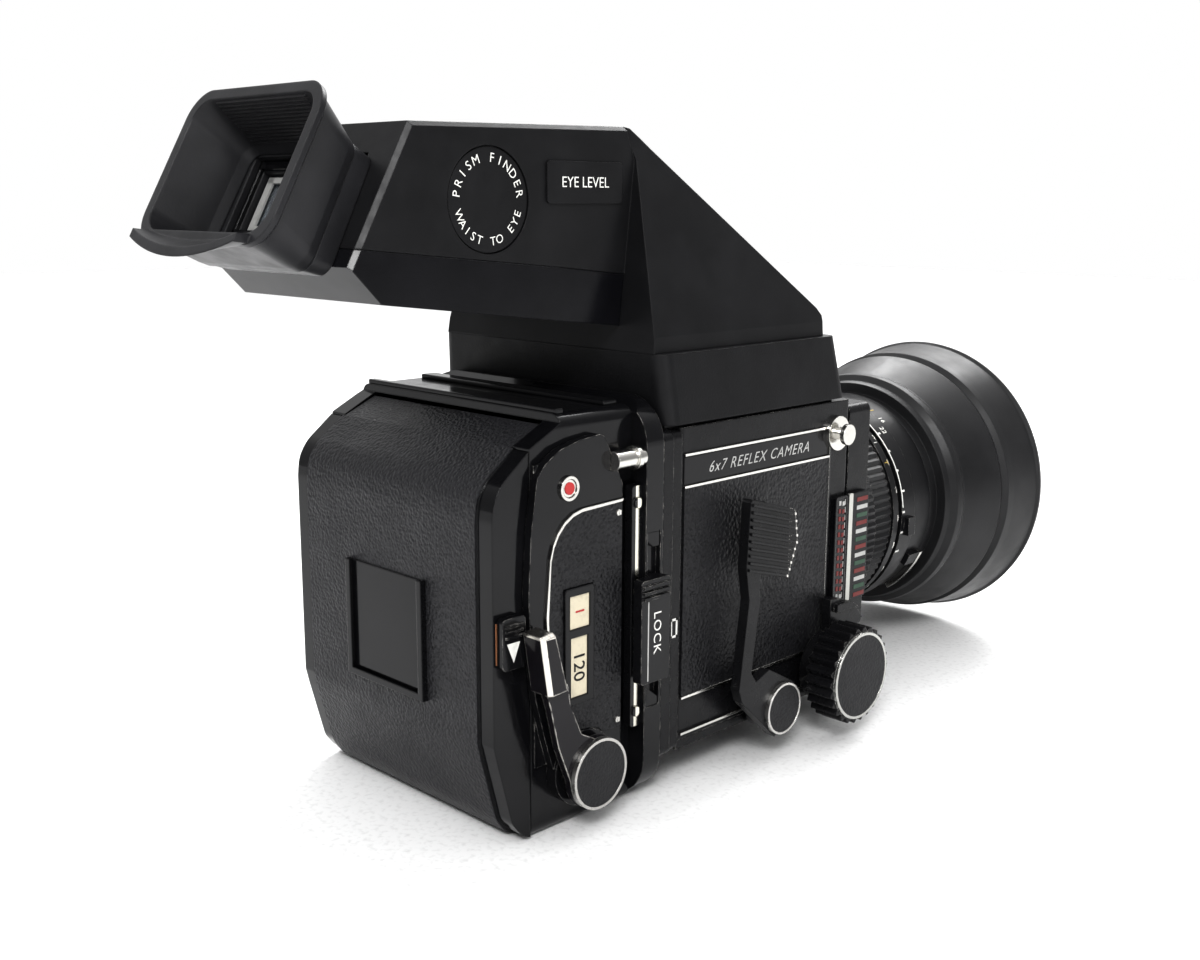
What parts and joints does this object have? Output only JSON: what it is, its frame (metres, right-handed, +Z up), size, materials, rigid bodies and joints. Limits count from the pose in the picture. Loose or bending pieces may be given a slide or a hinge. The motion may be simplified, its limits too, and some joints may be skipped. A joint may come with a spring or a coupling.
{
  "type": "medium format reflex camera",
  "caption": "Boxy black reflex camera with a prism finder and eyecup on top, a hooded lens on a focusing rack and a revolving roll-film back.",
  "frame": {"origin": "mouth of the tripod socket in the base plate", "axes": "+Z up, the lens looks along -Y and the eyepiece faces +Y, -X is the side with the cocking lever and the film advance"},
  "size_m": [0.1432, 0.357, 0.2113],
  "materials": {
    "body_casing": "semi-gloss black enamel with fine wrinkle",
    "base_plate": "black enamel",
    "tripod_bush": "turned steel",
    "rear_mount_plate": "black enamel, rubbed on the edges",
    "side_panels": "black leatherette grain",
    "chrome_trims": "satin chrome strip",
    "strap_lugs": "polished",
    "accessory_shoe": "satin chrome",
    "scale_plate": "gloss black with coloured scale lines",
    "focusing_screen": "ground glass",
    "mirror_hinge_pin": "ground pin",
    "finder_base": "black wrinkle enamel",
    "finder_housing": "black enamel",
    "finder_lower_cover": "black enamel",
    "glass_prism": "polished glass, silvered roof",
    "finder_badges": "plain black plates",
    "eyepiece_frame": "ribbed black",
    "eyepiece_lens": "coated glass",
    "eyecup": "worn black rubber",
    "mirror_frame": "matt black",
    "mirror_glass": "front silvered",
    "light_baffle": "matt black",
    "focus_shaft": "cut steel",
    "focus_knobs": "black with silver ring",
    "focus_lock_lever": "black lacquer",
    "front_standard": "semi-gloss black enamel",
    "lens_mount": "satin chrome",
    "focus_racks": "milled brass",
    "distance_scale": "gloss black with coloured blocks and a white strip",
    "bellows": "thin black pleated cloth",
    "lens_barrel": "black anodised",
    "front_lens_group": "coated glass",
    "rear_lens_group": "coated glass",
    "iris_shutter_unit": "blackened steel",
    "rubber_hood": "dull black rubber",
    "lens_lock_ring": "black, knurled",
    "speed_ring": "black, knurled, white figures",
    "aperture_ring": "black with white ticks",
    "cocking_lever": "black, worn bright on its edges",
    "cocking_lever_cap": "silver ring with a dark disc",
    "release_button": "polished",
    "revolving_adapter": "semi-gloss black, rubbed corners",
    "adapter_lock_bar": "satin chrome bar",
    "holder_frame": "semi-gloss black",
    "cover_hinge_pin": "ground pin",
    "holder_side_plate": "gloss black with chrome stud",
    "holder_inlay": "black leatherette grain",
    "holder_trim": "satin silver",
    "indicator_frame": "gloss black",
    "indicator_windows": "cream discs behind windows",
    "holder_lock_slider": "black, ribbed top",
    "holder_cover": "leatherette over gloss black shell",
    "memo_frame": "black lacquer",
    "pressure_plate": "black anodised",
    "cover_latch": "black with white mark",
    "advance_lever": "black, worn bright on its edges",
    "advance_hub_cap": "silver ring with a grained disc",
    "dark_slide": "thin sheet with black grip",
    "take_up_spool": "moulded",
    "supply_spool": "moulded"
  },
  "bodies": {
    "body": {"body_casing": "body_casing", "base_plate": "base_plate", "tripod_bush": "tripod_bush", "rear_mount_plate": "rear_mount_plate", "side_panels": "side_panels", "chrome_trims": "chrome_trims", "strap_lugs": "strap_lugs", "accessory_shoe": "accessory_shoe", "scale_plate": "scale_plate", "focusing_screen": "focusing_screen", "mirror_hinge_pin": "mirror_hinge_pin", "finder_base": "finder_base", "finder_housing": "finder_housing", "finder_lower_cover": "finder_lower_cover", "glass_prism": "glass_prism", "finder_badges": "finder_badges", "eyepiece_frame": "eyepiece_frame", "eyepiece_lens": "eyepiece_lens", "eyecup": "eyecup"},
    "mirror": {"mirror_frame": "mirror_frame", "mirror_glass": "mirror_glass"},
    "baffle": {"light_baffle": "light_baffle"},
    "focus_drive": {"focus_shaft": "focus_shaft", "focus_knobs": "focus_knobs"},
    "lock_lever": {"focus_lock_lever": "focus_lock_lever"},
    "standard": {"front_standard": "front_standard", "lens_mount": "lens_mount", "focus_racks": "focus_racks", "distance_scale": "distance_scale", "bellows": "bellows", "lens_barrel": "lens_barrel", "front_lens_group": "front_lens_group", "rear_lens_group": "rear_lens_group", "iris_shutter_unit": "iris_shutter_unit", "rubber_hood": "rubber_hood"},
    "lock_ring": {"lens_lock_ring": "lens_lock_ring"},
    "speed_dial": {"speed_ring": "speed_ring"},
    "aperture_dial": {"aperture_ring": "aperture_ring"},
    "cocking": {"cocking_lever": "cocking_lever", "cocking_lever_cap": "cocking_lever_cap"},
    "release": {"release_button": "release_button"},
    "back": {"revolving_adapter": "revolving_adapter", "adapter_lock_bar": "adapter_lock_bar", "holder_frame": "holder_frame", "cover_hinge_pin": "cover_hinge_pin", "holder_side_plate": "holder_side_plate", "holder_inlay": "holder_inlay", "holder_trim": "holder_trim", "indicator_frame": "indicator_frame", "indicator_windows": "indicator_windows"},
    "slider": {"holder_lock_slider": "holder_lock_slider"},
    "back_cover": {"holder_cover": "holder_cover", "memo_frame": "memo_frame", "pressure_plate": "pressure_plate"},
    "latch": {"cover_latch": "cover_latch"},
    "advance": {"advance_lever": "advance_lever", "advance_hub_cap": "advance_hub_cap"},
    "slide_sheet": {"dark_slide": "dark_slide"},
    "take_up": {"take_up_spool": "take_up_spool"},
    "supply": {"supply_spool": "supply_spool"}
  },
  "joints": [
    {"name": "focus_slide", "type": "slide", "parent": "body", "child": "standard", "axis": [0, -1, 0], "range_m": [0, 0.046], "deforming": ["bellows"]},
    {"name": "focus_turn", "type": "hinge", "parent": "body", "child": "focus_drive", "pos_m": [0, -0.032, 0.0115], "axis": [1, 0, 0], "range_deg": [0, 410]},
    {"name": "focus_lock_turn", "type": "hinge", "parent": "body", "child": "lock_lever", "pos_m": [-0.0558, -0.032, 0.0115], "axis": [1, 0, 0], "range_deg": [0, 30]},
    {"name": "mirror_swing", "type": "hinge", "parent": "body", "child": "mirror", "pos_m": [0, 0.0325, 0.0784], "axis": [-1, 0, 0], "range_deg": [0, 45]},
    {"name": "baffle_swing", "type": "hinge", "parent": "body", "child": "baffle", "pos_m": [0, 0.037, 0.0735], "axis": [-1, 0, 0], "range_deg": [0, 91]},
    {"name": "lens_lock_turn", "type": "hinge", "parent": "standard", "child": "lock_ring", "pos_m": [0, -0.0668, 0.0514], "axis": [0, 1, 0], "range_deg": [0, 40]},
    {"name": "speed_turn", "type": "hinge", "parent": "standard", "child": "speed_dial", "pos_m": [0, -0.085, 0.0514], "axis": [0, 1, 0], "range_deg": [-60, 60]},
    {"name": "aperture_turn", "type": "hinge", "parent": "standard", "child": "aperture_dial", "pos_m": [0, -0.1035, 0.0514], "axis": [0, 1, 0], "range_deg": [-20, 60]},
    {"name": "cocking_turn", "type": "hinge", "parent": "body", "child": "cocking", "pos_m": [-0.06, 0, 0.006], "axis": [1, 0, 0], "range_deg": [0, 45], "stiffness_Nm_per_rad": 0.12, "springref_deg": -20.05},
    {"name": "release_push", "type": "slide", "parent": "body", "child": "release", "axis": [0, 1, 0], "range_m": [0, 0.003], "stiffness_N_per_m": 300},
    {"name": "back_turn", "type": "hinge", "parent": "body", "child": "back", "pos_m": [0, 0.0545, 0.0514], "axis": [0, 1, 0], "range_deg": [0, 90]},
    {"name": "holder_lock_slide", "type": "slide", "parent": "back", "child": "slider", "axis": [0, 0, 1], "range_m": [0, 0.008]},
    {"name": "cover_swing", "type": "hinge", "parent": "back", "child": "back_cover", "pos_m": [0, 0.0869, -0.0106], "axis": [-1, 0, 0], "range_deg": [0, 95]},
    {"name": "latch_slide", "type": "slide", "parent": "back", "child": "latch", "axis": [0, 0, -1], "range_m": [0, 0.005]},
    {"name": "advance_turn", "type": "hinge", "parent": "back", "child": "advance", "pos_m": [-0.055, 0.0814, 0.0066], "axis": [-1, 0, 0], "range_deg": [0, 150]},
    {"name": "take_up_turn", "type": "hinge", "parent": "back", "child": "take_up", "pos_m": [0, 0.0814, 0.0066], "axis": [-1, 0, 0], "range_deg": [0, 151]},
    {"name": "supply_turn", "type": "hinge", "parent": "back", "child": "supply", "pos_m": [0, 0.0795, 0.095], "axis": [1, 0, 0], "continuous": true},
    {"name": "dark_slide_pull", "type": "slide", "parent": "back", "child": "slide_sheet", "axis": [1, 0, 0], "range_m": [0, 0.095]}
  ],
  "couplings": [
    {"joint": "focus_turn", "follows": "focus_slide", "rad_per_m": 153.85},
    {"joint": "baffle_swing", "follows": "mirror_swing", "ratio": 2},
    {"joint": "take_up_turn", "follows": "advance_turn", "ratio": 1}
  ]
}
